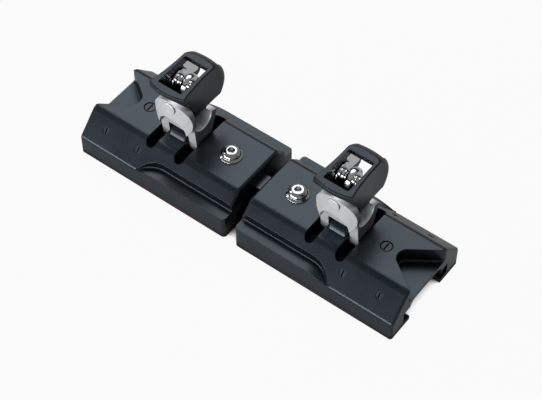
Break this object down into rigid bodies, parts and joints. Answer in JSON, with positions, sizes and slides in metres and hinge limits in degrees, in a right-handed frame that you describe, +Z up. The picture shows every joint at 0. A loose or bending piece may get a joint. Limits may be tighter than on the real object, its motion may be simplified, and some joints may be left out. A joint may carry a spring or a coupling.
{
  "type": "track car",
  "caption": "Coupled pair of ball bearing deck track cars, each with a swinging stand-up toggle whose frame holds a grooved spool.",
  "frame": {"origin": "bottom centre of the coupled pair, midway between the cars, level with the undersides of the legs", "axes": "+X along the track, +Y across it, +Z up"},
  "size_m": [0.2842, 0.084, 0.094],
  "materials": {
    "body": "dark hard anodised, satin",
    "race": "satin",
    "ball": "smooth",
    "cap": "matte",
    "fastener": "polished stainless",
    "dark_screw": "dark, satin",
    "base": "clear anodised, bright satin",
    "head": "black hard anodised, satin",
    "spool": "polished stainless"
  },
  "bodies": {
    "left_car": {"left_body": "body", "left_ball_races": "race", "left_ball_rows": "ball", "left_end_caps": "cap", "left_cap_screws": "fastener", "left_race_screws": "dark_screw", "left_swing_pin": "fastener", "left_pin_plug": "dark_screw", "left_coupler_screw": "fastener"},
    "left_toggle_base": {"left_toggle_base": "base", "left_toggle_pin": "fastener", "left_toggle_plug": "fastener"},
    "left_toggle_head": {"left_toggle_head": "head", "left_spool_axle": "fastener"},
    "left_spool": {"left_spool": "spool"},
    "right_car": {"right_body": "body", "right_ball_races": "race", "right_ball_rows": "ball", "right_end_caps": "cap", "right_cap_screws": "fastener", "right_race_screws": "dark_screw", "right_swing_pin": "fastener", "right_pin_plug": "dark_screw", "right_coupler_screw": "fastener"},
    "right_toggle_base": {"right_toggle_base": "base", "right_toggle_pin": "fastener", "right_toggle_plug": "fastener"},
    "right_toggle_head": {"right_toggle_head": "head", "right_spool_axle": "fastener"},
    "right_spool": {"right_spool": "spool"},
    "coupler": {"coupler_link": "fastener"}
  },
  "joints": [
    {"name": "left_coupler_yaw", "type": "hinge", "parent": "left_car", "child": "coupler", "pos_m": [-0.0302, 0, 0.0249], "axis": [0, 0, 1], "range_deg": [-3, 3]},
    {"name": "right_coupler_yaw", "type": "hinge", "parent": "coupler", "child": "right_car", "pos_m": [0.0302, 0, 0.0249], "axis": [0, 0, 1], "range_deg": [-3, 3]},
    {"name": "left_toggle_swing", "type": "hinge", "parent": "left_car", "child": "left_toggle_base", "pos_m": [-0.0723, 0, 0.03], "axis": [1, 0, 0], "range_deg": [-40, 40]},
    {"name": "left_head_swing", "type": "hinge", "parent": "left_toggle_base", "child": "left_toggle_head", "pos_m": [-0.0723, 0, 0.064], "axis": [0, 1, 0], "range_deg": [-20, 20]},
    {"name": "left_spool_spin", "type": "hinge", "parent": "left_toggle_head", "child": "left_spool", "pos_m": [-0.0723, 0.006, 0.0785], "axis": [1, 0, 0], "continuous": true},
    {"name": "right_toggle_swing", "type": "hinge", "parent": "right_car", "child": "right_toggle_base", "pos_m": [0.0723, 0, 0.03], "axis": [1, 0, 0], "range_deg": [-40, 40]},
    {"name": "right_head_swing", "type": "hinge", "parent": "right_toggle_base", "child": "right_toggle_head", "pos_m": [0.0723, 0, 0.064], "axis": [0, 1, 0], "range_deg": [-20, 20]},
    {"name": "right_spool_spin", "type": "hinge", "parent": "right_toggle_head", "child": "right_spool", "pos_m": [0.0723, 0.006, 0.0785], "axis": [1, 0, 0], "continuous": true}
  ]
}
